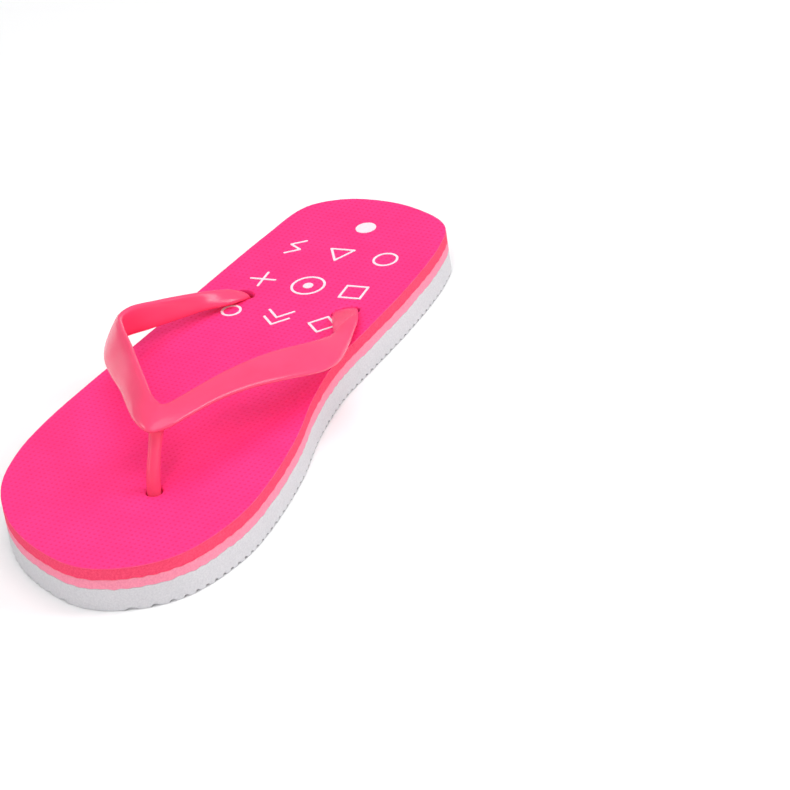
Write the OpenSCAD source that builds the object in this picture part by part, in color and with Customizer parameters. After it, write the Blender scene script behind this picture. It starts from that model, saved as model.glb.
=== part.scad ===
// Flip-flop for the right foot: a laminated foam sole with a one-piece moulded Y-strap.
// Origin on the ground, halfway along the sole; +X towards the toe, +Y towards the inner
// (big-toe) side, +Z up. Units are millimetres.

/* [Sole] */
// Outside length of the sole, heel to toe
sole_length = 247; // [235:1:260]
// Greatest width of the sole, across the ball of the foot
sole_width = 95; // [90:1:100]
// Thickness of the off-white outsole, tread included
outsole_t = 8.4; // [7.4:0.2:10]
// Thickness of the light-pink midsole
midsole_t = 3.6; // [3:0.2:5]
// Thickness of the coral footbed foam
footbed_t = 4.1; // [3:0.1:5]
// Thickness of the hot-pink top skin
skin_t = 0.5; // [0.3:0.1:0.8]

/* [Tread] */
// Distance from one cross rib to the next
rib_pitch = 3.5; // [3.2:0.1:5]
// Width of the groove between two ribs
groove_w = 1.6; // [1:0.1:1.8]
// Depth of the grooves
groove_d = 1.1; // [0.8:0.1:2]

/* [Flex line] */
// Distance of the ball-of-foot bend from the back of the heel
flex_x = 165; // [160:1:168]
// Slit between the fore and heel parts of each foam layer
flex_gap = 0.3; // [0.3:0.05:0.6]

/* [Strap] */
// Height of the V's front lip above the footbed
strap_height = 22; // [18:0.5:26]
// Thickness of the strap's arms
strap_t = 3; // [2.6:0.1:3.4]
// Diameter of the toe post
post_d = 5; // [4.6:0.1:5.2]
// Diameter of the two rear plugs
plug_d = 7; // [6.6:0.1:7.2]
// Diameter of the mushroom discs under the sole
disc_d = 15; // [13:0.5:16]
// Thickness of the mushroom discs
disc_t = 2.2; // [1.6:0.1:2.4]

/* [Holes] */
// Diameter of the toe post's hole
post_hole_d = 5.6; // [5.6:0.1:6]
// Diameter of the two rear holes
plug_hole_d = 9.4; // [9.3:0.1:10]
// Diameter of the recesses under the sole
recess_d = 17; // [17:0.5:19]
// Depth of the recesses under the sole
recess_depth = 4.2; // [4:0.1:4.4]

/* [Print] */
// Width of the printed lines
line_w = 0.9; // [0.8:0.1:1.4]
// Thickness of the printed ink
ink_t = 0.15; // [0.1:0.05:0.2]
// Size of one printed mark
mark_size = 9.5; // [8:0.5:11]

/* [Hidden] */

hot_pink = [0.93, 0.08, 0.34];
coral = [0.95, 0.14, 0.27];
light_pink = [0.96, 0.42, 0.52];
off_white = [0.80, 0.79, 0.80];
ink_white = [0.96, 0.93, 0.95];

// Levels above the ground
midsole_z = outsole_t;
footbed_z = midsole_z + midsole_t;
skin_z = footbed_z + footbed_t;
top_z = skin_z + skin_t;

// The shape below is given on a 247 x 95 mm sole with a 22 mm high strap, and scaled from there
len_k = sole_length / 247;
wid_k = sole_width / 95;
strap_k = strap_height / 22;

// A place on the sole: x from the back of the heel, y from the long axis, h above the footbed
function place(p) = [(p.x - 247 / 2) * len_k, p.y * wid_k, top_z + p.z * (p.z > 0 ? strap_k : 1)];

// Corners of the sole's outline, anticlockwise from the back of the heel:
// share of the length, and share of the width from the long axis (+ is the inner side)
outline = [
    [0.000, 0.050], [0.012, -0.095], [0.045, -0.190], [0.120, -0.240],   // back and outer heel
    [0.245, -0.302], [0.400, -0.372], [0.560, -0.447], [0.665, -0.490],  // outer side
    [0.755, -0.499], [0.840, -0.452], [0.915, -0.322], [0.970, -0.140],  // outer ball and small toes
    [1.000, 0.065], [0.982, 0.262], [0.933, 0.402], [0.845, 0.486],      // big toe
    [0.755, 0.500], [0.650, 0.479], [0.550, 0.432], [0.450, 0.414],      // inner ball and waist
    [0.350, 0.440], [0.240, 0.469], [0.125, 0.474], [0.055, 0.425],      // inner heel
    [0.012, 0.240]
];
outline_steps = 5;

// The three holes: [x, y]
post_hole = [199.9, 10.6];
inner_hole = [80, 29.6];
outer_hole = [74.9, -13.5];
holes = [post_hole, inner_hole, outer_hole];

// Edges of the strap from the inner hole, round the V, to the outer hole:
// [front or lower edge, rear or upper edge], each [x, y, height above the footbed]
rails = [
    [[78.2, 33.2, -2.5], [81.8, 26.0, -2.5]],   // down in the inner hole
    [[79.6, 33.9, 1.5], [83.2, 26.4, 2.0]],
    [[82.9, 35.9, 2.3], [88.9, 28.5, 2.9]],
    [[84.8, 37.0, 2.9], [94.8, 31.3, 3.9]],
    [[86.6, 37.8, 3.4], [100.6, 34.4, 5.1]],
    [[88.6, 38.6, 3.6], [104.2, 36.6, 6.2]],     // the arm creases here as it lies down
    [[91.3, 39.4, 3.8], [105.7, 36.8, 6.7]],
    [[98.4, 41.2, 4.4], [107.8, 36.8, 7.5]],
    [[106.5, 43.3, 5.1], [110.5, 37.1, 8.6]],
    [[114.6, 45.2, 6.1], [113.9, 37.2, 10.2]],
    [[122.0, 46.6, 7.3], [117.9, 37.3, 11.9]],
    [[128.6, 46.7, 8.8], [122.4, 36.9, 13.7]],
    [[136.3, 45.2, 10.9], [126.9, 35.4, 15.3]],
    [[149.3, 39.4, 15.4], [140.8, 29.6, 19.4]],
    [[162.1, 32.6, 19.1], [155.3, 23.6, 21.9]],
    [[174.0, 26.6, 21.1], [168.5, 18.3, 22.8]],
    [[186.0, 21.8, 22.0], [178.5, 14.4, 23.1]],
    [[194.6, 17.8, 22.1], [183.2, 12.9, 23.7]],  // inner shoulder of the V
    [[198.4, 13.0, 22.0], [185.0, 11.3, 24.1]],  // middle of the V
    [[196.2, 8.4, 21.4], [184.0, 9.4, 24.4]],    // outer shoulder of the V
    [[189.0, 1.4, 19.9], [180.6, 5.4, 25.2]],
    [[179.0, -6.0, 18.1], [172.1, -1.1, 25.2]],
    [[168.0, -13.9, 16.4], [161.2, -9.3, 25.1]],
    [[156.0, -23.6, 14.3], [149.2, -17.9, 24.1]],
    [[144.4, -32.1, 12.5], [137.0, -26.9, 22.7]],
    [[132.0, -37.4, 10.3], [126.5, -33.0, 20.5]],
    [[121.5, -36.6, 8.2], [116.8, -33.4, 18.4]],
    [[112.0, -31.6, 6.4], [106.5, -30.0, 15.0]],
    [[102.0, -25.8, 4.8], [97.0, -25.7, 11.9]],
    [[92.0, -19.9, 3.2], [88.0, -21.3, 8.6]],
    [[84.8, -13.6, 2.4], [79.2, -16.6, 5.2]],
    [[79.6, -10.6, 1.8], [75.4, -14.4, 3.1]],
    [[76.6, -11.2, -2.5], [72.6, -15.3, -2.5]]   // down in the outer hole
];
rail_steps = 3;
ring_points = 16;
ring_squareness = 2.8;

// Lean of the toe post: where its middle meets the V, above the footbed
post_top = [192.4, 12.2, 22.4];
post_flare = 1.6;
post_flare_h = 4;

// Where each printed mark's middle lies on the heel
mark_rows = [39, 63, 86];
mark_columns = [29, 10.4, -8.2];
mark_skew = 0.1;
dot_place = [20.9, 12.5];

// One point of a Catmull-Rom curve between b and c
function curve_point(a, b, c, d, t) =
    (2 * b + (c - a) * t + (2 * a - 5 * b + 4 * c - d) * t * t + (3 * b - 3 * c + d - a) * t * t * t) / 2;

// A smooth closed line through the points
function closed_curve(p, steps) = [
    for (i = [0 : len(p) - 1], k = [0 : steps - 1])
        curve_point(p[(i + len(p) - 1) % len(p)], p[i], p[(i + 1) % len(p)], p[(i + 2) % len(p)], k / steps)
];

// A smooth open line through the points
function open_curve(p, steps) = [
    for (i = [0 : len(p) - 2], k = [0 : (i == len(p) - 2 ? steps : steps - 1)])
        curve_point(p[max(i - 1, 0)], p[i], p[i + 1], p[min(i + 2, len(p) - 1)], k / steps)
];

function unit(v) = v / norm(v);
function signed_power(v, e) = sign(v) * pow(abs(v), e);

sole_outline = closed_curve([for (p = outline) [(p.x - 0.5) * sole_length, p.y * sole_width]], outline_steps);

// Everything in front of the flex line, or behind it
module fore_part() {
    intersection() {
        children();
        translate([(flex_x - 247 / 2) * len_k + flex_gap / 2, -sole_width, -1])
            cube([sole_length, 2 * sole_width, top_z + 2]);
    }
}

module heel_part() {
    intersection() {
        children();
        translate([(flex_x - 247 / 2) * len_k - flex_gap / 2 - sole_length, -sole_width, -1])
            cube([sole_length, 2 * sole_width, top_z + 2]);
    }
}

// One layer of the sole, with the strap's three holes through it
module layer(z, t) {
    difference() {
        translate([0, 0, z])
            linear_extrude(t)
                polygon(sole_outline);
        for (h = holes)
            translate([place([h.x, h.y, 0]).x, place([h.x, h.y, 0]).y, z - 1])
                cylinder(d = h == post_hole ? post_hole_d : plug_hole_d, h = t + 2, $fn = 48);
    }
}

module top_skin() {
    layer(skin_z, skin_t);
}

module footbed() {
    layer(footbed_z, footbed_t);
}

module midsole() {
    layer(midsole_z, midsole_t);
}

// The outsole is cut across by the tread's grooves and recessed round the plugs
module outsole() {
    groove_count = ceil(sole_length / rib_pitch / 2);
    difference() {
        layer(0, outsole_t);
        for (i = [-groove_count : groove_count])
            translate([(i + 0.5) * rib_pitch - groove_w / 2, -sole_width, -1])
                cube([groove_w, 2 * sole_width, 1 + groove_d]);
        for (h = holes)
            translate([place([h.x, h.y, 0]).x, place([h.x, h.y, 0]).y, -1])
                cylinder(d = recess_d, h = 1 + recess_depth, $fn = 64);
    }
}

// The strap's two arms and the V, as one swept ribbon with rounded edges
module ribbon() {
    lower = open_curve([for (r = rails) place(r[0])], rail_steps);
    upper = open_curve([for (r = rails) place(r[1])], rail_steps);
    middle = (lower + upper) / 2;
    last = len(middle) - 1;
    points = [
        for (i = [0 : last])
            let (
                along = middle[min(i + 1, last)] - middle[max(i - 1, 0)],
                across = upper[i] - lower[i],
                face = unit(cross(across, along))
            )
            for (k = [0 : ring_points - 1])
                let (a = 360 * k / ring_points)
                middle[i]
                    + across / 2 * signed_power(cos(a), 2 / ring_squareness)
                    + face * strap_t / 2 * signed_power(sin(a), 2 / ring_squareness)
    ];
    sides = [
        for (i = [0 : last - 1], k = [0 : ring_points - 1])
            let (j = (k + 1) % ring_points, a = i * ring_points, b = a + ring_points)
            each [[a + k, b + j, b + k], [a + k, a + j, b + j]]
    ];
    first_cap = [for (k = [ring_points - 1 : -1 : 0]) k];
    last_cap = [for (k = [0 : ring_points - 1]) last * ring_points + k];
    polyhedron(points = points, faces = concat(sides, [first_cap, last_cap]), convexity = 8);
}

// A plug: the stem through the sole and the mushroom disc that holds it
module plug(hole, d) {
    stem_bottom = recess_depth - disc_t - 0.3;
    translate([place([hole.x, hole.y, 0]).x, place([hole.x, hole.y, 0]).y, stem_bottom]) {
        cylinder(d = disc_d, h = disc_t, $fn = 64);
        cylinder(d = d, h = top_z - stem_bottom, $fn = 48);
    }
}

// The toe post leans back from its hole to the underside of the V
module post() {
    foot = place([post_hole.x, post_hole.y, 0]);
    head = place(post_top);
    lean = head - foot;
    reach = norm(lean);
    translate(foot)
        rotate([0, acos(lean.z / reach), atan2(lean.y, lean.x)]) {
            sphere(d = post_d + 0.2, $fn = 48);
            cylinder(d = post_d, h = reach, $fn = 48);
            translate([0, 0, reach - post_flare_h])
                cylinder(d1 = post_d, d2 = post_d + 2 * post_flare, h = post_flare_h - 0.6, $fn = 48);
        }
}

module y_strap() {
    color(coral) {
        ribbon();
        post();
        plug(post_hole, post_d);
        plug(inner_hole, plug_d);
        plug(outer_hole, plug_d);
    }
}

// A printed line from a to b with round ends
module stroke(a, b) {
    way = b - a;
    translate([a.x, a.y, 0])
        rotate(atan2(way.y, way.x)) {
            translate([0, -line_w / 2, 0])
                cube([norm(way), line_w, ink_t]);
            cylinder(d = line_w, h = ink_t, $fn = 24);
            translate([norm(way), 0, 0])
                cylinder(d = line_w, h = ink_t, $fn = 24);
        }
}

// A printed line through the points
module line_through(p) {
    for (i = [0 : len(p) - 2])
        stroke(p[i], p[i + 1]);
}

module printed_ring(d) {
    difference() {
        cylinder(d = d, h = ink_t, $fn = 48);
        translate([0, 0, -1])
            cylinder(d = d - 2 * line_w, h = ink_t + 2, $fn = 48);
    }
}

// A regular outline of the given number of corners
module printed_polygon(corners, d, turn) {
    line_through([for (i = [0 : corners]) d / 2 * [cos(360 * i / corners + turn), sin(360 * i / corners + turn)]]);
}

// The nine plain marks, by row from the heel and column from the inner side
module mark(row, column) {
    s = mark_size;
    if (row == 0 && column == 0) printed_ring(s);
    if (row == 0 && column == 1) printed_polygon(3, s * 1.1, 0);
    if (row == 0 && column == 2) line_through([[-s / 2, s / 4], [-s / 6, -s / 4], [s / 6, s / 4], [s / 2, -s / 4]]);
    if (row == 1 && column == 0) printed_polygon(4, s * 1.2, 45);
    if (row == 1 && column == 1) {
        printed_ring(s * 1.35);
        cylinder(d = s * 0.4, h = ink_t, $fn = 32);
    }
    if (row == 1 && column == 2) {
        stroke([-s / 2, 0], [s / 2, 0]);
        stroke([0, -s / 2], [0, s / 2]);
    }
    if (row == 2 && column == 0) printed_polygon(4, s * 1.1, 0);
    if (row == 2 && column == 1) {
        line_through([[-s / 2, s / 2], [0, 0], [-s / 2, -s / 2]]);
        line_through([[0, s / 2], [s / 2, 0], [0, -s / 2]]);
    }
    if (row == 2 && column == 2) printed_ring(s * 0.8);
}

module heel_print() {
    color(ink_white) {
        for (row = [0 : 2], column = [0 : 2]) {
            spot = place([mark_rows[row] + mark_skew * mark_columns[column],
                          mark_columns[column] - mark_skew * (mark_rows[row] - mark_rows[0]), 0]);
            translate(spot)
                mark(row, column);
        }
        translate(place([dot_place.x, dot_place.y, 0]))
            cylinder(d = mark_size * 0.8, h = ink_t, $fn = 40);
    }
}

color(hot_pink) fore_part() top_skin();  // top_skin_fore
color(hot_pink) heel_part() top_skin();  // top_skin_heel
color(coral) fore_part() footbed();  // footbed_fore
color(coral) heel_part() footbed();  // footbed_heel
color(light_pink) fore_part() midsole();  // midsole_fore
color(light_pink) heel_part() midsole();  // midsole_heel
color(off_white) fore_part() outsole();  // outsole_fore
color(off_white) heel_part() outsole();  // outsole_heel
y_strap();
heel_print();
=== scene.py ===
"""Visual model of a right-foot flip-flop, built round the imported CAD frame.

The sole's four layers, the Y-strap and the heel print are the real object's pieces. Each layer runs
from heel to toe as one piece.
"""
import math
import random

import bmesh
import bpy
import numpy as np
from mathutils import Matrix, Vector
from mathutils.geometry import delaunay_2d_cdt


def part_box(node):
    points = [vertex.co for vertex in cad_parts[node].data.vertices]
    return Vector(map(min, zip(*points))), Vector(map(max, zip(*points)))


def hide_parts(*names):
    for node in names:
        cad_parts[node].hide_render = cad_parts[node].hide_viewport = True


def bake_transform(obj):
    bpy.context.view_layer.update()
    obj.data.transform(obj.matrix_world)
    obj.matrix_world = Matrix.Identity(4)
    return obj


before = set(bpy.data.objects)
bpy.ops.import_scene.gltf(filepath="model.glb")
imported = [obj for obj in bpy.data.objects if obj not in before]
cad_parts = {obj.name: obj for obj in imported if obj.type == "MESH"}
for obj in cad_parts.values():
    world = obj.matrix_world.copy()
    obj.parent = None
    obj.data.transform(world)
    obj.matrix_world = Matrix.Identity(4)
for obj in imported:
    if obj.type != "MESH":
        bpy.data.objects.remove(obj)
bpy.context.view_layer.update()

MM = 0.001

# ---------------------------------------------------------------- sizes, from the frame

FOAMS = ("outsole", "midsole", "footbed")
LAYERS = (*FOAMS, "top_skin")
HEEL = {layer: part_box(layer + "_heel") for layer in LAYERS}
FORE = {layer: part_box(layer + "_fore") for layer in LAYERS}
BOTTOM = {layer: HEEL[layer][0].z for layer in LAYERS}
TOP = {layer: HEEL[layer][1].z for layer in LAYERS}
SOLE_LENGTH = FORE["footbed"][1].x - HEEL["footbed"][0].x
SOLE_WIDTH = FORE["footbed"][1].y - FORE["footbed"][0].y
HEEL_X = HEEL["footbed"][0].x
DECK = TOP["top_skin"]
DRAWN_LENGTH = 247 * MM      # the sole's length that the lists of points below are drawn for
SCALE = SOLE_LENGTH / DRAWN_LENGTH


def place(x, y, height):
    """A place in metres, from mm forward of the heel, to the inner side and above the film's top."""
    return np.array([HEEL_X + x * MM * SCALE, y * MM * SCALE, DECK + height * MM * SCALE])


# Corners of the sole's outline, anticlockwise from the back of the heel: share of the length, and
# share of the width from the long axis (+ is the inner side)
OUTLINE = [
    (0.000, 0.050), (0.012, -0.095), (0.045, -0.190), (0.120, -0.240),   # back and outer heel
    (0.245, -0.302), (0.400, -0.372), (0.560, -0.447), (0.665, -0.490),  # outer side
    (0.755, -0.499), (0.840, -0.452), (0.915, -0.322), (0.970, -0.140),  # outer ball and small toes
    (1.000, 0.065), (0.982, 0.262), (0.933, 0.402), (0.845, 0.486),      # big toe
    (0.755, 0.500), (0.650, 0.479), (0.550, 0.432), (0.450, 0.414),      # inner ball and waist
    (0.350, 0.440), (0.240, 0.469), (0.125, 0.474), (0.055, 0.425),      # inner heel
    (0.012, 0.240),
]
OUTLINE_STEPS = 26

# Middles of the holes for the strap, in mm for place()
POST_HOLE = (200.1, 11.0)
INNER_HOLE = (78.7, 28.8)
OUTER_HOLE = (72.9, -13.4)

# Edges of the strap from the inner hole, round the V, to the outer hole:
# (front or lower edge, rear or upper edge), each in mm for place()
RAILS = [
    ((76.3, 32.0, -3.2), (80.3, 25.2, -3.2)),    # down in the inner hole
    ((75.9, 32.2, -0.9), (80.4, 24.8, -0.8)),
    ((78.5, 33.6, 0.9), (86.7, 27.4, 1.5)),
    ((81.4, 35.2, 2.0), (93.8, 30.9, 3.1)),
    ((83.8, 36.4, 2.7), (100.4, 34.3, 4.8)),
    ((86.3, 37.6, 3.3), (104.2, 36.6, 6.2)),     # the arm creases here as it lies down
    ((91.3, 39.4, 3.8), (105.7, 36.8, 6.7)),
    ((98.4, 41.2, 4.4), (107.8, 36.8, 7.5)),
    ((106.5, 43.3, 5.1), (110.5, 37.1, 8.6)),
    ((114.6, 45.2, 6.1), (113.9, 37.2, 10.2)),
    ((122.0, 46.6, 7.3), (117.9, 37.3, 11.9)),
    ((128.6, 46.7, 8.8), (122.4, 36.9, 13.7)),
    ((136.3, 45.2, 10.9), (126.9, 35.4, 15.3)),
    ((149.3, 39.4, 15.4), (140.8, 29.6, 19.4)),
    ((162.1, 32.6, 19.1), (155.3, 23.6, 21.9)),
    ((174.0, 26.6, 21.1), (168.5, 18.3, 22.8)),
    ((186.0, 21.8, 22.0), (178.5, 14.4, 23.1)),
    ((194.6, 17.8, 22.1), (183.2, 12.9, 23.7)),  # inner shoulder of the V
    ((198.4, 13.0, 22.0), (185.0, 11.3, 24.1)),  # middle of the V
    ((196.2, 8.4, 21.4), (184.0, 9.4, 24.4)),    # outer shoulder of the V
    ((189.0, 1.4, 19.9), (180.6, 5.4, 25.2)),
    ((179.0, -6.0, 18.1), (172.1, -1.1, 25.2)),
    ((168.0, -13.9, 16.4), (161.2, -9.3, 25.1)),
    ((156.0, -23.6, 14.3), (149.2, -17.9, 24.1)),
    ((144.4, -32.1, 12.5), (137.0, -26.9, 22.7)),
    ((132.0, -37.4, 10.3), (126.5, -33.0, 20.5)),
    ((121.5, -36.6, 8.2), (116.8, -33.4, 18.4)),
    ((112.0, -31.6, 6.4), (106.5, -30.0, 15.0)),
    ((102.0, -25.8, 4.8), (97.0, -25.7, 11.9)),
    ((92.0, -19.9, 3.2), (87.6, -21.5, 8.4)),
    ((84.6, -13.5, 2.1), (79.3, -16.9, 4.6)),
    ((78.6, -10.8, 0.9), (75.4, -15.1, 1.7)),
    ((75.0, -10.5, -0.6), (73.3, -14.4, -0.4)),
    ((74.6, -10.9, -3.0), (72.9, -14.4, -3.0)),  # down in the outer hole
]
RAIL_STEPS = 9           # rings from one station of the rails to the next
RING_POINTS = 40
STRAP_T = 3.0 * MM
END_T = 2.2 * MM         # the strap thins towards its holes,
TAPER = 5                # over this many stations
FRONT_POWER = 2.25       # how square the strap's front and rear edges are
REAR_POWER = 3.2
MOULD_LINE = 4           # the ring point that the moulding line follows
MOULD_DEPTH = 0.12 * MM

# The toe post's middle line, in mm for place(), and its half width at each point, in mm
POST_LINE = [
    (199.9, 10.8, -9.0), (199.9, 10.8, -4.0), (199.9, 10.8, 0.0), (198.3, 11.0, 6.5),
    (195.6, 11.5, 13.5), (193.4, 12.0, 19.0), (192.6, 12.2, 22.2),
]
POST_HALF = [2.5, 2.4, 2.35, 2.3, 2.2, 2.5, 3.0]
POST_STEPS = 8

# The film's dimples stand on a turned square grid, alternately deep and shallow
DIMPLE_PITCH = 2.05 * MM
DIMPLE_TURN = math.radians(-10)
DIMPLE_EVERY = 3         # points of the film's mesh from one dimple to the next
DEEP, SHALLOW = 0.26 * MM, 0.16 * MM


# ---------------------------------------------------------------- curves

def catmull_rom(a, b, c, d, t):
    """The point at share t of the way from b to c, on a smooth curve that also passes a and d."""
    square = 2 * a - 5 * b + 4 * c - d
    cube = 3 * b - 3 * c + d - a
    return (2 * b + (c - a) * t + square * t * t + cube * t ** 3) / 2


def closed_curve(points, steps):
    """A smooth loop through the points."""
    p = np.array(points, float)
    n = len(p)
    return np.array([
        catmull_rom(p[i - 1], p[i], p[(i + 1) % n], p[(i + 2) % n], k / steps)
        for i in range(n) for k in range(steps)
    ])


def open_curve(points, steps):
    """A smooth line through the points, from the first to the last."""
    p = np.array(points, float)
    last = len(p) - 1
    curve = [
        catmull_rom(p[max(i - 1, 0)], p[i], p[i + 1], p[min(i + 2, last)], k / steps)
        for i in range(last) for k in range(steps)
    ]
    return np.array(curve + [p[last]])


def unit(v):
    return v / np.linalg.norm(v)


def outward(loop):
    """The outward normals of an anticlockwise loop."""
    along = np.roll(loop, -1, 0) - np.roll(loop, 1, 0)
    normal = np.stack([along[:, 1], -along[:, 0]], 1)
    return normal / np.linalg.norm(normal, axis=1)[:, None]


def run_length(loop):
    """How far round the loop each of its points is, from 0 to 1."""
    step = np.linalg.norm(np.roll(loop, -1, 0) - loop, axis=1)
    return (np.cumsum(step) - step) / step.sum()


WAVES = 14               # in each ripple


def ripple(loop, seed, lowest, highest, size):
    """A seeded unevenness of about that size round the loop, from waves of lowest to highest turns."""
    draw = random.Random(seed)
    share = run_length(loop)
    total = np.zeros(len(loop))
    turns = sorted(draw.sample(range(lowest, highest), WAVES))
    for k in turns:
        total += draw.uniform(0.5, 1) * np.sin(2 * math.pi * (k * share + draw.random()))
    return size * total / math.sqrt(len(turns))


def circle(centre, radius, count, squash=1.0, turn=0.0):
    """An anticlockwise ring, or an ellipse squashed across its turned long side."""
    a = np.linspace(0, 2 * math.pi, count, endpoint=False)
    x, y = radius * np.cos(a), radius * squash * np.sin(a)
    return np.stack([centre[0] + x * math.cos(turn) - y * math.sin(turn),
                     centre[1] + x * math.sin(turn) + y * math.cos(turn)], 1)


def inside(points, loop):
    """Which points lie inside the closed loop."""
    x, y = points[:, 0][:, None], points[:, 1][:, None]
    x0, y0 = loop[:, 0], loop[:, 1]
    x1, y1 = np.roll(x0, -1), np.roll(y0, -1)
    crosses = (y0 > y) != (y1 > y)
    with np.errstate(divide="ignore", invalid="ignore"):
        at = (x1 - x0) * (y - y0) / (y1 - y0) + x0
    return (crosses & (x < at)).sum(1) % 2 == 1


def nearest(points, loop, batch=4000):
    """How far each point is from the loop's points, worked out in batches."""
    best = np.full(len(points), np.inf)
    for start in range(0, len(points), batch):
        some = points[start:start + batch]
        gap = np.linalg.norm(some[:, None] - loop[None], axis=2)
        best[start:start + batch] = gap.min(1)
    return best


# ---------------------------------------------------------------- materials

def node(tree, kind, **values):
    """A shader node, with its properties and the constant values of its inputs."""
    made = tree.nodes.new("ShaderNode" + kind)
    for key, value in values.items():
        if hasattr(made, key):
            setattr(made, key, value)
        else:
            made.inputs[key.replace("_", " ")].default_value = value
    return made


def material(name, **values):
    """A material with a Principled shader; its constant values go on the shader's own sockets."""
    made = bpy.data.materials.new(name)
    made.use_nodes = True
    tree = made.node_tree
    shader = tree.nodes["Principled BSDF"]
    for key, value in values.items():
        shader.inputs[key.replace("_", " ")].default_value = value
    return made, tree, shader


def own_coordinates(tree):
    """The piece's own coordinates, in metres."""
    return node(tree, "TexCoord").outputs["Object"]


def noise(tree, at, scale, detail=3.0, roughness=0.5):
    made = node(tree, "TexNoise", Scale=scale, Detail=detail, Roughness=roughness)
    tree.links.new(at, made.inputs["Vector"])
    return made.outputs["Fac"]


def mottle(tree, shader, factor, low, high, start=0.3, stop=0.7):
    """The base colour runs from low to high with the factor."""
    ramp = node(tree, "ValToRGB")
    ramp.color_ramp.elements[0].position = start
    ramp.color_ramp.elements[0].color = (*low, 1)
    ramp.color_ramp.elements[1].position = stop
    ramp.color_ramp.elements[1].color = (*high, 1)
    tree.links.new(factor, ramp.inputs["Fac"])
    tree.links.new(ramp.outputs["Color"], shader.inputs["Base Color"])


def rough_between(tree, shader, factor, low, high):
    """The roughness runs from low to high with the factor."""
    span = node(tree, "MapRange")
    span.inputs["To Min"].default_value = low
    span.inputs["To Max"].default_value = high
    tree.links.new(factor, span.inputs["Value"])
    tree.links.new(span.outputs["Result"], shader.inputs["Roughness"])


def bumps(tree, shader, heights):
    """One bump after another: (height socket, strength, distance in metres)."""
    before = None
    for height, strength, distance in heights:
        bump = node(tree, "Bump", Strength=strength, Distance=distance)
        tree.links.new(height, bump.inputs["Height"])
        if before is not None:
            tree.links.new(before, bump.inputs["Normal"])
        before = bump.outputs["Normal"]
    tree.links.new(before, shader.inputs["Normal"])


def foam(name, low, high):
    """Closed-cell foam as it is cut: matt, with fine cells laid open."""
    made, tree, shader = material(name, Specular_IOR_Level=0.2)
    at = own_coordinates(tree)
    grain = noise(tree, at, scale=1500.0, detail=3.0, roughness=0.7)
    mottle(tree, shader, grain, low, high, start=0.35, stop=0.65)
    rough_between(tree, shader, grain, 0.78, 0.95)
    cells = node(tree, "TexVoronoi", Scale=1300.0, Randomness=1.0)
    tree.links.new(at, cells.inputs["Vector"])
    bumps(tree, shader, [(cells.outputs["Distance"], 0.45, 0.10 * MM), (grain, 0.3, 0.08 * MM)])
    return made


def dimple_shade_mask(tree, at):
    """1 in the film's dimples and 0 between them, from a cosine wave along each row and column; it lays
    painted shade in the dimples.
    """
    turned = node(tree, "Mapping", vector_type="TEXTURE")
    turned.inputs["Rotation"].default_value = (0, 0, DIMPLE_TURN)
    turned.inputs["Scale"].default_value = [DIMPLE_PITCH / (2 * math.pi)] * 3
    tree.links.new(at, turned.inputs["Vector"])
    apart = node(tree, "SeparateXYZ")
    tree.links.new(turned.outputs["Vector"], apart.inputs["Vector"])
    waves = [node(tree, "Math", operation="COSINE") for _ in "XY"]
    both = node(tree, "Math", operation="ADD")
    for k, axis in enumerate("XY"):
        tree.links.new(apart.outputs[axis], waves[k].inputs[0])
        tree.links.new(waves[k].outputs[0], both.inputs[k])
    mask = node(tree, "MapRange", interpolation_type="SMOOTHSTEP")
    mask.inputs["From Min"].default_value = 0.5
    mask.inputs["From Max"].default_value = 1.9
    tree.links.new(both.outputs[0], mask.inputs["Value"])
    return mask.outputs["Result"]


# Sockets of a colour Mix node
MIX_FACTOR, MIX_A, MIX_B, MIX_RESULT = 0, 6, 7, 2


def film(name, low, high, pit_shade):
    """The embossed film on the footbed: satin, with fine grain, and painted shade darkening its
    dimples.
    """
    made, tree, shader = material(name, Specular_IOR_Level=0.3)
    at = own_coordinates(tree)
    mottle(tree, shader, noise(tree, at, scale=60.0, detail=4.0, roughness=0.6), low, high)
    cloud = shader.inputs["Base Color"].links[0].from_socket
    # Painted shade: the base colour darkens towards the pit shade colour in each dimple
    mix = node(tree, "Mix", data_type="RGBA")
    tree.links.new(dimple_shade_mask(tree, at), mix.inputs[MIX_FACTOR])
    tree.links.new(cloud, mix.inputs[MIX_A])
    mix.inputs[MIX_B].default_value = (*pit_shade, 1)
    tree.links.new(mix.outputs[MIX_RESULT], shader.inputs["Base Color"])
    rough_between(tree, shader, noise(tree, at, scale=900.0, detail=2.0), 0.5, 0.66)
    bumps(tree, shader, [(noise(tree, at, scale=2600.0, detail=3.0), 0.3, 0.06 * MM)])
    return made


def soft_pvc(name, low, high):
    """Glossy, slightly see-through moulded PVC with faint flow marks."""
    made, tree, shader = material(
        name, IOR=1.45, Specular_IOR_Level=0.36, Subsurface_Weight=0.08, Subsurface_Scale=1.0,
        Subsurface_Radius=(3.0 * MM, 0.8 * MM, 0.9 * MM),
    )
    at = own_coordinates(tree)
    mottle(tree, shader, noise(tree, at, scale=45.0, detail=3.0), low, high)
    rough_between(tree, shader, noise(tree, at, scale=160.0, detail=3.0), 0.17, 0.27)
    flow = noise(tree, at, scale=70.0, detail=2.0)
    grain = noise(tree, at, scale=1200.0, detail=2.0)
    bumps(tree, shader, [(flow, 0.12, 0.4 * MM), (grain, 0.05, 0.02 * MM)])
    return made


def ink(name, low, high):
    """Screen-printed ink with the film's grain showing through."""
    made, tree, shader = material(name, Specular_IOR_Level=0.3)
    at = own_coordinates(tree)
    mottle(tree, shader, noise(tree, at, scale=700.0, detail=4.0, roughness=0.7), low, high)
    rough_between(tree, shader, noise(tree, at, scale=900.0, detail=2.0), 0.5, 0.7)
    bumps(tree, shader, [(noise(tree, at, scale=1500.0, detail=3.0), 0.3, 0.06 * MM)])
    return made


# The film's third colour is painted shade for its dimples
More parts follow.
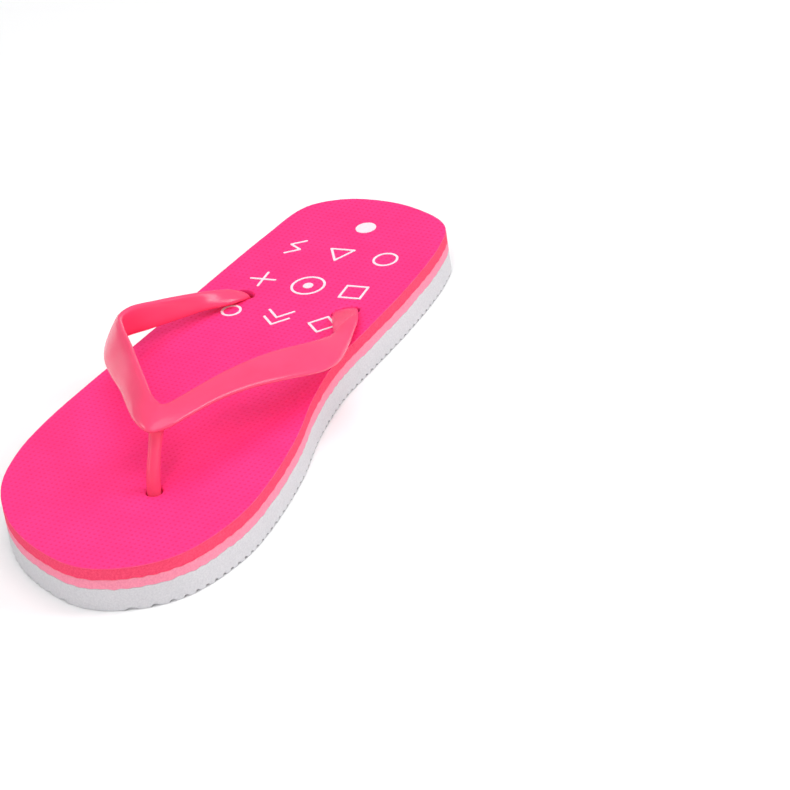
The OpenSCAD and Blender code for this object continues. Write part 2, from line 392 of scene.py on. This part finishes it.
HOT_PINK = film("hot_pink_film", (0.95, 0.030, 0.215), (0.99, 0.038, 0.245), (0.92, 0.017, 0.165))
FILM_EDGE = ink("film_cut_edge", (0.95, 0.055, 0.18), (0.99, 0.080, 0.22))
CORAL_FOAM = foam("coral_foam", (0.90, 0.050, 0.13), (1.0, 0.085, 0.19))
PINK_FOAM = foam("light_pink_foam", (0.90, 0.25, 0.37), (1.0, 0.33, 0.45))
WHITE_FOAM = foam("off_white_foam", (0.62, 0.615, 0.64), (0.71, 0.705, 0.725))
CORAL_PVC = soft_pvc("coral_pvc", (0.96, 0.066, 0.172), (1.0, 0.080, 0.200))
WHITE_INK = ink("white_ink", (0.82, 0.68, 0.77), (0.91, 0.81, 0.87))


# ---------------------------------------------------------------- the sole's layers

def shade_smooth(mesh, sharp):
    """Smooth shading, with edges of more than that many degrees kept sharp."""
    mesh.polygons.foreach_set("use_smooth", [True] * len(mesh.polygons))
    mesh.set_sharp_from_angle(angle=math.radians(sharp))


def new_piece(name, verts, faces, materials, slots=None, sharp=35):
    """A smooth-shaded mesh object; slots has the number of each face's material."""
    mesh = bpy.data.meshes.new(name)
    mesh.from_pydata([tuple(v) for v in verts], [], faces)
    mesh.validate()
    for each in materials:
        mesh.materials.append(each)
    if slots is not None:
        mesh.polygons.foreach_set("material_index", slots)
    shade_smooth(mesh, sharp)
    made = bpy.data.objects.new(name, mesh)
    bpy.context.scene.collection.objects.link(made)
    return made


# Half the size of a grid or a cutter that covers the sole, as a share of the sole's size
REACH = 0.6


def lattice(loop, spacing, clear_of, margin, turn=0.0):
    """Points of a turned square grid inside the loop, clear of it and of the hole loops.

    Returns the points, their rows and their columns.
    """
    count = math.ceil(SOLE_LENGTH * REACH / spacing)
    steps = np.arange(-count, count)
    i, j = (grid.ravel() for grid in np.meshgrid(steps, steps, indexing="ij"))
    x = i * math.cos(turn) - j * math.sin(turn)
    y = i * math.sin(turn) + j * math.cos(turn)
    points = np.stack([x, y], 1) * spacing
    near = np.abs(points[:, 1]) < SOLE_WIDTH * REACH
    points, i, j = points[near], i[near], j[near]
    keep = inside(points, loop) & (nearest(points, loop) > margin)
    for hole in clear_of:
        keep &= ~inside(points, hole) & (nearest(points, hole) > margin)
    return points[keep], i[keep], j[keep]


class Slab:
    """A closed layer: a wall round it, a wall in each hole, and a cap at the bottom and the top."""

    def __init__(self):
        self.verts = []
        self.faces = []
        self.slots = []

    def loop(self, xy, z):
        """Adds the points at one height, or at one for each, and returns their numbers."""
        start = len(self.verts)
        z = np.broadcast_to(z, (len(xy),))
        self.verts.extend(zip(xy[:, 0], xy[:, 1], z))
        return list(range(start, start + len(xy)))

    def wall(self, loops, slot=0, inward=False):
        """Faces from each loop up to the next."""
        for a, b in zip(loops, loops[1:]):
            for i in range(len(a)):
                j = (i + 1) % len(a)
                quad = (a[i], a[j], b[j], b[i])
                self.faces.append(quad[::-1] if inward else quad)
                self.slots.append(slot)

    def cap(self, rim, holes, points, z, up, slot=0):
        """Triangles between the rim and the holes, with corners at the extra points too."""
        extra = self.loop(points, z) if len(points) else []
        index = list(rim) + [i for hole in holes for i in hole] + extra
        edges, start = [], 0
        for ring in [rim, *holes]:
            edges += [(start + i, start + (i + 1) % len(ring)) for i in range(len(ring))]
            start += len(ring)
        flat = [Vector(self.verts[i][:2]) for i in index]
        _, _, triangles, origin, _, _ = delaunay_2d_cdt(flat, edges, [], 1, 1e-9)
        hole_sets = [set(hole) for hole in holes]
        for triangle in triangles:
            corners = tuple(index[origin[k][0]] for k in triangle)
            if any(set(corners) <= hole for hole in hole_sets):
                continue
            self.faces.append(corners if up else corners[::-1])
            self.slots.append(slot)


OUTLINE_LOOP = closed_curve(
    [(HEEL_X + x * SOLE_LENGTH, y * SOLE_WIDTH) for x, y in OUTLINE], OUTLINE_STEPS)
OUTLINE_OUT = outward(OUTLINE_LOOP)

# Each layer's top seam and its side wander a little where the foam was cut
SEAM = {
    "outsole": ripple(OUTLINE_LOOP, seed=11, lowest=15, highest=150, size=0.22 * MM),
    "midsole": ripple(OUTLINE_LOOP, seed=12, lowest=15, highest=150, size=0.16 * MM),
    "footbed": ripple(OUTLINE_LOOP, seed=13, lowest=6, highest=40, size=0.05 * MM),
}
SIDE = {
    layer: ripple(OUTLINE_LOOP, seed=20 + k, lowest=5, highest=130, size=0.035 * MM)
    for k, layer in enumerate(FOAMS)
}
SIDE_BULGE = 0.05 * MM   # at the middle of a foam layer's height
CUT_ROUND = 0.16 * MM    # round of a foam layer's edges
FOAM_GAP = 0.05 * MM     # between the footbed's top and the film's underside
FILM_ROUND = 0.22 * MM   # round of the film's top edge, at the sole's side and at the holes
FILM_TAIL = 2.2 * MM     # how far the film's rim reaches down in a hole
HOLE_GAP = 0.25 * MM     # how much wider the holes are in the foam than in the film

DIP_DEPTH = 0.35 * MM    # how far the footbed dips at a hole
DIP_REACH = 1.3 * MM
DIP_POWER = 1.2

# The meshes have finer rings of points about the holes, this far from the rims
FOOTBED_ROUNDS = (0.6 * MM, 1.3 * MM, 2.2 * MM, 3.4 * MM)
FILM_ROUNDS = (0.5 * MM, 0.9 * MM, 1.4 * MM, 2.0 * MM, 2.7 * MM)
RIM_POINTS = 56
FILM_ROUND_POINTS = 72
COARSE = 3 * MM          # between points where a layer's face is flat


def strap_hole(x, y, radius, squash, turn):
    """A hole for the strap at mm for place(), as an ellipse turned by that many degrees."""
    return {"at": place(x, y, 0)[:2], "radius": radius, "squash": squash, "turn": math.radians(turn)}


HOLES = {
    "post": strap_hole(*POST_HOLE, radius=3.15 * MM, squash=0.94, turn=20),
    "inner": strap_hole(*INNER_HOLE, radius=5.2 * MM, squash=0.62, turn=122),
    "outer": strap_hole(*OUTER_HOLE, radius=4.4 * MM, squash=0.68, turn=68),
}


def hole_loop(hole, grow, count=RIM_POINTS):
    """The hole's rim, grown outwards."""
    long = hole["radius"] + grow
    short = hole["radius"] * hole["squash"] + grow
    return circle(hole["at"], long, count, short / long, hole["turn"])


def hole_loops(*grows, count=RIM_POINTS):
    """The rims of the three holes, each grown by every one of the given lengths in turn."""
    return [hole_loop(hole, grow, count) for hole in HOLES.values() for grow in grows]


def dip(points):
    """How far the strap pulls the footbed down near its holes."""
    down = np.zeros(len(points))
    for rim in hole_loops(0.0):
        down += DIP_DEPTH * np.exp(-(nearest(points, rim) / DIP_REACH) ** DIP_POWER)
    return down


def foam_side(slab, name):
    """A foam layer's softly cut side, between its two seams: its lowest and highest loops."""
    low = BOTTOM[name] + (0.0 if name == FOAMS[0] else SEAM[FOAMS[FOAMS.index(name) - 1]])
    high = TOP[name] + SEAM[name]
    face = OUTLINE_LOOP + OUTLINE_OUT * SIDE[name][:, None]
    edge = OUTLINE_LOOP + OUTLINE_OUT * (SIDE[name] - CUT_ROUND)[:, None]
    loops = [
        slab.loop(edge, low),
        slab.loop(face, low + CUT_ROUND),
        slab.loop(face + OUTLINE_OUT * SIDE_BULGE, (low + high) / 2),
        slab.loop(face, high - CUT_ROUND),
        slab.loop(edge, high),
    ]
    slab.wall(loops)
    return loops[0], loops[-1]


def foam_layer(name, foam_material):
    """One foam layer with its three holes. The footbed's top dips at them, as the film does."""
    slab = Slab()
    bottom, top = foam_side(slab, name)
    ends = []
    for rim, z, up in ((bottom, BOTTOM[name], False), (top, TOP[name], True)):
        dips = name == "footbed" and up
        loops = hole_loops(HOLE_GAP)
        holes = [slab.loop(loop, z - (dip(loop) + FOAM_GAP if dips else 0)) for loop in loops]
        ends.append(holes)
        grows = FOOTBED_ROUNDS if dips else ()
        clear_of = hole_loops(max(grows, default=0) + HOLE_GAP)
        grid, _, _ = lattice(OUTLINE_LOOP, COARSE, clear_of, margin=0.45 * COARSE)
        points = np.concatenate([*hole_loops(*grows), grid])
        down = dip(points) + FOAM_GAP if dips else np.zeros(len(points))
        slab.cap(rim, holes, points, z - down, up)
    for low, high in zip(*ends):
        slab.wall([low, high], inward=True)
    return new_piece(name, slab.verts, slab.faces, [foam_material], slab.slots)


def film_hole(slab, hole):
    """The film's wall down one hole: its lowest and highest loops."""
    top = TOP["top_skin"]
    bottom = BOTTOM["top_skin"]
    tail = top - DIP_DEPTH - FILM_TAIL
    lip = hole_loop(hole, FILM_ROUND)
    rim = hole_loop(hole, 0.0)
    loops = [
        slab.loop(lip, top - dip(lip)),
        slab.loop(rim, top - dip(rim) - 0.18 * MM),
        slab.loop(hole_loop(hole, -0.02 * MM), tail),
        slab.loop(hole_loop(hole, 0.20 * MM), tail),
        slab.loop(lip, bottom - dip(lip)),
    ]
    slab.wall(loops[::-1], inward=True)
    return loops[-1], loops[0]


def film_top(rounds, clear_of):
    """The points of the film's top, and how far down its dips and dimples take them."""
    spacing = DIMPLE_PITCH / DIMPLE_EVERY
    margin = 0.18 * DIMPLE_PITCH
    grid, i, j = lattice(OUTLINE_LOOP, spacing, clear_of, margin, DIMPLE_TURN)
    points = np.concatenate([*rounds, grid])
    down = dip(points)
    dimple = (i % DIMPLE_EVERY == 0) & (j % DIMPLE_EVERY == 0)
    depth = np.where((i // DIMPLE_EVERY + j // DIMPLE_EVERY) % 2 == 0, DEEP, SHALLOW)
    down[-len(grid):] += np.where(dimple, depth, 0)
    return points, down


def top_skin():
    """The film: an embossed top, a cut edge, and rims that follow the strap into its holes."""
    slab = Slab()
    top = TOP["top_skin"]
    bottom = BOTTOM["top_skin"]
    seam = SEAM["footbed"]
    face = OUTLINE_LOOP + OUTLINE_OUT * SIDE["footbed"][:, None]
    edge = [
        slab.loop(face - OUTLINE_OUT * 0.10 * MM, bottom + seam),
        slab.loop(face, bottom + seam + 0.08 * MM),
        slab.loop(face, top - 0.16 * MM),
        slab.loop(face - OUTLINE_OUT * 0.06 * MM, top - 0.05 * MM),
    ]
    slab.wall(edge, slot=1)
    shoulder = slab.loop(face - OUTLINE_OUT * FILM_ROUND, top)
    slab.wall([edge[-1], shoulder])
    low_holes, high_holes = zip(*[film_hole(slab, hole) for hole in HOLES.values()])
    rounds = hole_loops(*FILM_ROUNDS, count=FILM_ROUND_POINTS)
    clear_of = hole_loops(FILM_ROUNDS[-1] + 0.2 * MM)
    points, down = film_top(rounds, clear_of)
    slab.cap(shoulder, high_holes, points, top - down, up=True)
    coarse, _, _ = lattice(OUTLINE_LOOP, COARSE, clear_of, margin=1.4 * MM)
    points = np.concatenate([*rounds, coarse])
    slab.cap(edge[0], low_holes, points, bottom - dip(points), up=False)
    return new_piece("top_skin", slab.verts, slab.faces, [HOT_PINK, FILM_EDGE], slab.slots, sharp=60)


# ---------------------------------------------------------------- the tread

GROOVE_PITCH = 3.5 * MM
# Half of a groove's outline, from its mouth up to its roof, in mm: (from the middle, above the ground)
HALF_GROOVE = [
    (1.15, -0.4), (1.10, 0.0), (0.95, 0.10), (0.80, 0.32), (0.68, 0.66), (0.50, 0.90), (0.25, 1.0),
]
GROOVE = [(-x, z) for x, z in HALF_GROOVE] + HALF_GROOVE[::-1]
RECESS_R = 8.5 * MM
RECESS_DEPTH = 4.2 * MM
RECESS_POINTS = 72


def cutter(name, verts, faces):
    """A plain mesh object to cut with."""
    mesh = bpy.data.meshes.new(name)
    mesh.from_pydata(verts, [], faces)
    made = bpy.data.objects.new(name, mesh)
    bpy.context.scene.collection.objects.link(made)
    return made


def apply_modifiers(target):
    """Gives the target the mesh that its modifiers make."""
    evaluated = target.evaluated_get(bpy.context.evaluated_depsgraph_get())
    mesh = bpy.data.meshes.new_from_object(evaluated)
    target.modifiers.clear()
    old, target.data = target.data, mesh
    bpy.data.meshes.remove(old)


def combine(target, tool, operation):
    """Cuts the tool out of the target (DIFFERENCE) or joins it on (UNION), and deletes the tool."""
    step = target.modifiers.new(operation.lower(), "BOOLEAN")
    step.operation = operation
    step.solver = "EXACT"
    step.object = tool
    apply_modifiers(target)
    bpy.data.objects.remove(tool)


def groove_cutter():
    """All the tread's grooves, side by side across the sole."""
    verts, faces = [], []
    half = SOLE_WIDTH * REACH
    count = math.ceil(SOLE_LENGTH / GROOVE_PITCH / 2)
    n = len(GROOVE)
    for k in range(-count, count):
        x = (k + 0.5) * GROOVE_PITCH
        near = len(verts)
        far = near + n
        for y in (-half, half):
            verts += [(x + across * MM, y, z * MM) for across, z in GROOVE]
        for i in range(n):
            j = (i + 1) % n
            faces.append((near + i, near + j, far + j, far + i))
        faces += [tuple(reversed(range(near, far))), tuple(range(far, far + n))]
    return cutter("grooves", verts, faces)


def recess_cutter():
    """The three recesses under the plugs, with rounded mouths and corners."""
    verts, faces = [], []
    profile = [
        (RECESS_R + 0.5 * MM, -0.5 * MM), (RECESS_R + 0.5 * MM, 0.0), (RECESS_R + 0.15 * MM, 0.2 * MM),
        (RECESS_R, 0.6 * MM), (RECESS_R, RECESS_DEPTH - 0.4 * MM), (RECESS_R - 0.4 * MM, RECESS_DEPTH),
    ]
    n = RECESS_POINTS
    for hole in HOLES.values():
        rings = []
        for radius, z in profile:
            rings.append(list(range(len(verts), len(verts) + n)))
            verts += [(x, y, z) for x, y in circle(hole["at"], radius, n)]
        for a, b in zip(rings, rings[1:]):
            faces += [(a[i], a[(i + 1) % n], b[(i + 1) % n], b[i]) for i in range(n)]
        faces += [tuple(reversed(rings[0])), tuple(rings[-1])]
    return cutter("recesses", verts, faces)


def outsole():
    """The bottom layer, with its ribs and the recesses under the plugs."""
    made = foam_layer("outsole", WHITE_FOAM)
    combine(made, groove_cutter(), "DIFFERENCE")
    combine(made, recess_cutter(), "DIFFERENCE")
    shade_smooth(made.data, sharp=38)
    return made


# ---------------------------------------------------------------- the strap

PLUG_R = 3.0 * MM
# An arm's end on its way down the hole: (share of the way to the hole's middle, mm down)
TO_PLUG = [(0.25, 1.0), (0.55, 2.2), (0.85, 3.6), (1.0, 5.0)]
# A plug from its neck to the middle of its disc's underside, in mm: (radius, height above the ground)
ARM_NECK = [(3.1, 5.2), (3.3, 4.5)]
POST_NECK = [(2.6, 5.2), (3.0, 4.4)]
DISC = [
    (4.2, 4.05), (5.2, 3.9), (6.9, 3.85), (7.3, 3.65), (7.5, 3.2), (7.5, 2.5), (7.35, 2.0),
    (6.9, 1.75), (5.6, 1.7), (4.0, 1.7), (3.4, 1.8), (3.0, 2.1), (1.6, 2.2),
]
POST_ACROSS, POST_DEEP = 1.04, 0.96    # the post is a little wider than deep


def signed_power(v, e):
    return np.sign(v) * np.abs(v) ** e


def ring(middle, across, face, front, rear):
    """A superellipse, with across and face as its half axes and its own power for each half.

    A section of an arm, whose halves differ, also has a point drawn in for the moulding line.
    """
    a = np.linspace(0, 2 * math.pi, RING_POINTS, endpoint=False)
    power = np.where(np.cos(a) < 0, front, rear)
    c, s = signed_power(np.cos(a), 2 / power), signed_power(np.sin(a), 2 / power)
    if front != rear:
        s[MOULD_LINE] -= MOULD_DEPTH / np.linalg.norm(face)
    return middle + across[None] * c[:, None] + face[None] * s[:, None]


def ribbon_rings():
    """The arms' rings from the inner hole to the outer one: middle, half axes and powers."""
    lower = open_curve([place(*r[0]) for r in RAILS], RAIL_STEPS)
    upper = open_curve([place(*r[1]) for r in RAILS], RAIL_STEPS)
    middle = (lower + upper) / 2
    last = len(middle) - 1
    rings = []
    for i in range(last + 1):
        along = middle[min(i + 1, last)] - middle[max(i - 1, 0)]
        across = (upper[i] - lower[i]) / 2
        full = min(i, last - i, TAPER * RAIL_STEPS) / (TAPER * RAIL_STEPS)
        thick = END_T + (STRAP_T - END_T) * full
        face = unit(np.cross(across, along)) * thick / 2
        rings.append((middle[i], across, face, FRONT_POWER, REAR_POWER))
    return rings


def plug_rings(end, centre):
    """From an arm's end down its hole to the disc under the sole."""
    middle, across, face, front, rear = end
    flat_across = unit(np.array([across[0], across[1], 0]))
    flat_face = unit(np.array([face[0], face[1], 0]))
    rings = []
    for share, drop in TO_PLUG:
        at = np.array([*(middle[:2] * (1 - share) + centre * share), middle[2] - drop * MM])
        wide = np.linalg.norm(across) * (1 - share) + PLUG_R * share
        thick = np.linalg.norm(face) * (1 - share) + PLUG_R * share
        square = ((front + rear) / 2 - 2) * (1 - share) + 2
        rings.append((at, flat_across * wide, flat_face * thick, square, square))
    return rings + round_rings(centre, flat_across, flat_face, ARM_NECK + DISC)


def round_rings(centre, side, front, outline):
    """Level round rings about the centre, one for each (radius, height) of the outline."""
    return [(np.array([*centre, z * MM]), side * r * MM, front * r * MM, 2, 2) for r, z in outline]


def tube(name, rings):
    """A closed skin over the rings."""
    verts, faces = [], []
    for each in rings:
        verts += [tuple(v) for v in ring(*each)]
    n = RING_POINTS
    for i in range(len(rings) - 1):
        for k in range(n):
            j = (k + 1) % n
            faces.append((i * n + k, i * n + j, (i + 1) * n + j, (i + 1) * n + k))
    faces += [tuple(reversed(range(n))), tuple(range((len(rings) - 1) * n, len(rings) * n))]
    made = new_piece(name, verts, faces, [CORAL_PVC], sharp=60)
    outside(made)
    return made


def outside(made):
    """Turns the mesh's faces to point out."""
    work = bmesh.new()
    work.from_mesh(made.data)
    bmesh.ops.recalc_face_normals(work, faces=work.faces)
    work.to_mesh(made.data)
    work.free()


def post_rings():
    """The toe post from its disc under the sole up into the V."""
    line = open_curve([place(*p) for p in POST_LINE], POST_STEPS)
    half = open_curve([[h] for h in POST_HALF], POST_STEPS)[:, 0] * MM
    last = len(line) - 1
    rings = []
    for i in range(last + 1):
        along = unit(line[min(i + 1, last)] - line[max(i - 1, 0)])
        side = unit(np.cross(along, np.array([1.0, 0, 0])))
        front = np.cross(side, along)
        rings.append((line[i], side * half[i] * POST_ACROSS, front * half[i] * POST_DEEP, 2, 2))
    _, side, front, _, _ = rings[0]
    return round_rings(line[0][:2], unit(side), unit(front), POST_NECK + DISC)[::-1] + rings


def y_strap():
    """One moulding: two arms, the V, the toe post and three plugs."""
    band = ribbon_rings()
    inner = plug_rings(band[0], HOLES["inner"]["at"])
    outer = plug_rings(band[-1], HOLES["outer"]["at"])
    arms = tube("y_strap", inner[::-1] + band + outer)
    combine(arms, tube("toe_post", post_rings()), "UNION")
    shade_smooth(arms.data, sharp=50)
    return arms


# ---------------------------------------------------------------- pieces in place of the CAD nodes


def bend(piece, slot, *nodes):
    """Puts the piece in place of the CAD nodes, which it hides."""
    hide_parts(*nodes)
    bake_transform(piece)


bend(outsole(), "outsole_foam", "outsole_fore", "outsole_heel")
bend(foam_layer("midsole", PINK_FOAM), "midsole_foam", "midsole_fore", "midsole_heel")
bend(foam_layer("footbed", CORAL_FOAM), "footbed_foam", "footbed_fore", "footbed_heel")
bend(top_skin(), "top_skin", "top_skin_fore", "top_skin_heel")
bend(y_strap(), "strap_pvc", "y_strap")

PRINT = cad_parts["heel_print"]
PRINT.data.materials.clear()
PRINT.data.materials.append(WHITE_INK)


# ---------------------------------------------------------------- floor, light and camera

def floor():
    """A pale floor, just under the sole so that the two surfaces don't meet."""
    mesh = bpy.data.meshes.new("floor")
    work = bmesh.new()
    bmesh.ops.create_grid(work, x_segments=2, y_segments=2, size=6.0)
    work.to_mesh(mesh)
    work.free()
    made = bpy.data.objects.new("floor", mesh)
    made.location.z = -0.1 * MM
    bpy.context.scene.collection.objects.link(made)
    pale, tree, shader = material("pale_floor", Roughness=0.9, Specular_IOR_Level=0.1)
    cloud = noise(tree, own_coordinates(tree), scale=3.0)
    mottle(tree, shader, cloud, (0.93, 0.93, 0.935), (0.95, 0.95, 0.955))
    mesh.materials.append(pale)


def area_light(name, at, aim, size, watts):
    """A soft rectangular light, with its place, its aim and its size in metres."""
    data = bpy.data.lights.new(name, "AREA")
    data.shape = "RECTANGLE"
    data.size, data.size_y = size
    data.energy = watts
    made = bpy.data.objects.new(name, data)
    made.location = at
    made.rotation_euler = (Vector(aim) - Vector(at)).to_track_quat("-Z", "Y").to_euler()
    bpy.context.scene.collection.objects.link(made)


def lights():
    """One large light overhead, one at each side and in front, and a small one for the post's glint."""
    area_light("overhead", (0.05, 0.1, 1.45), (0, 0, 0), (1.5, 1.5), 17)
    area_light("left_box", (-0.15, -1.28, 0.4), (0.03, 0, 0.03), (0.3, 0.25), 1.1)
    area_light("right_box", (-0.45, 1.15, 0.9), (0, 0, 0.02), (0.7, 0.5), 9.5)
    area_light("front_box", (1.5, 0.25, 1.0), (0, 0, 0.02), (0.6, 0.5), 7.5)
    area_light("post_light", (1.0, -0.9, 0.14), (0.07, 0.01, 0.03), (0.16, 0.12), 0.7)
    world = bpy.data.worlds.new("studio")
    bpy.context.scene.world = world
    world.use_nodes = True
    world.node_tree.nodes["Background"].inputs["Color"].default_value = (1, 1, 1, 1)
    world.node_tree.nodes["Background"].inputs["Strength"].default_value = 0.23


CAMERA_AIM = Vector((0.0056, 0.0687, DECK))
CAMERA_AWAY = 1.3556
CAMERA_AZIMUTH = math.radians(27)
CAMERA_ELEVATION = math.radians(30.5)
CAMERA_ROLL = math.radians(-9)


def camera():
    """A long lens from in front and above the toe, on the inner side, rolled slightly."""
    level = math.cos(CAMERA_ELEVATION)
    away = Vector((math.cos(CAMERA_AZIMUTH) * level, math.sin(CAMERA_AZIMUTH) * level,
                   math.sin(CAMERA_ELEVATION)))
    data = bpy.data.cameras.new("camera")
    data.lens = 182.3
    data.sensor_width = 36
    data.clip_end = 20
    made = bpy.data.objects.new("camera", data)
    turn = (-away).to_track_quat("-Z", "Y").to_matrix() @ Matrix.Rotation(CAMERA_ROLL, 3, "Z")
    made.matrix_world = Matrix.Translation(CAMERA_AIM + away * CAMERA_AWAY) @ turn.to_4x4()
    bpy.context.scene.collection.objects.link(made)
    bpy.context.scene.camera = made


floor()
lights()
camera()
bpy.context.scene.view_settings.view_transform = "Standard"
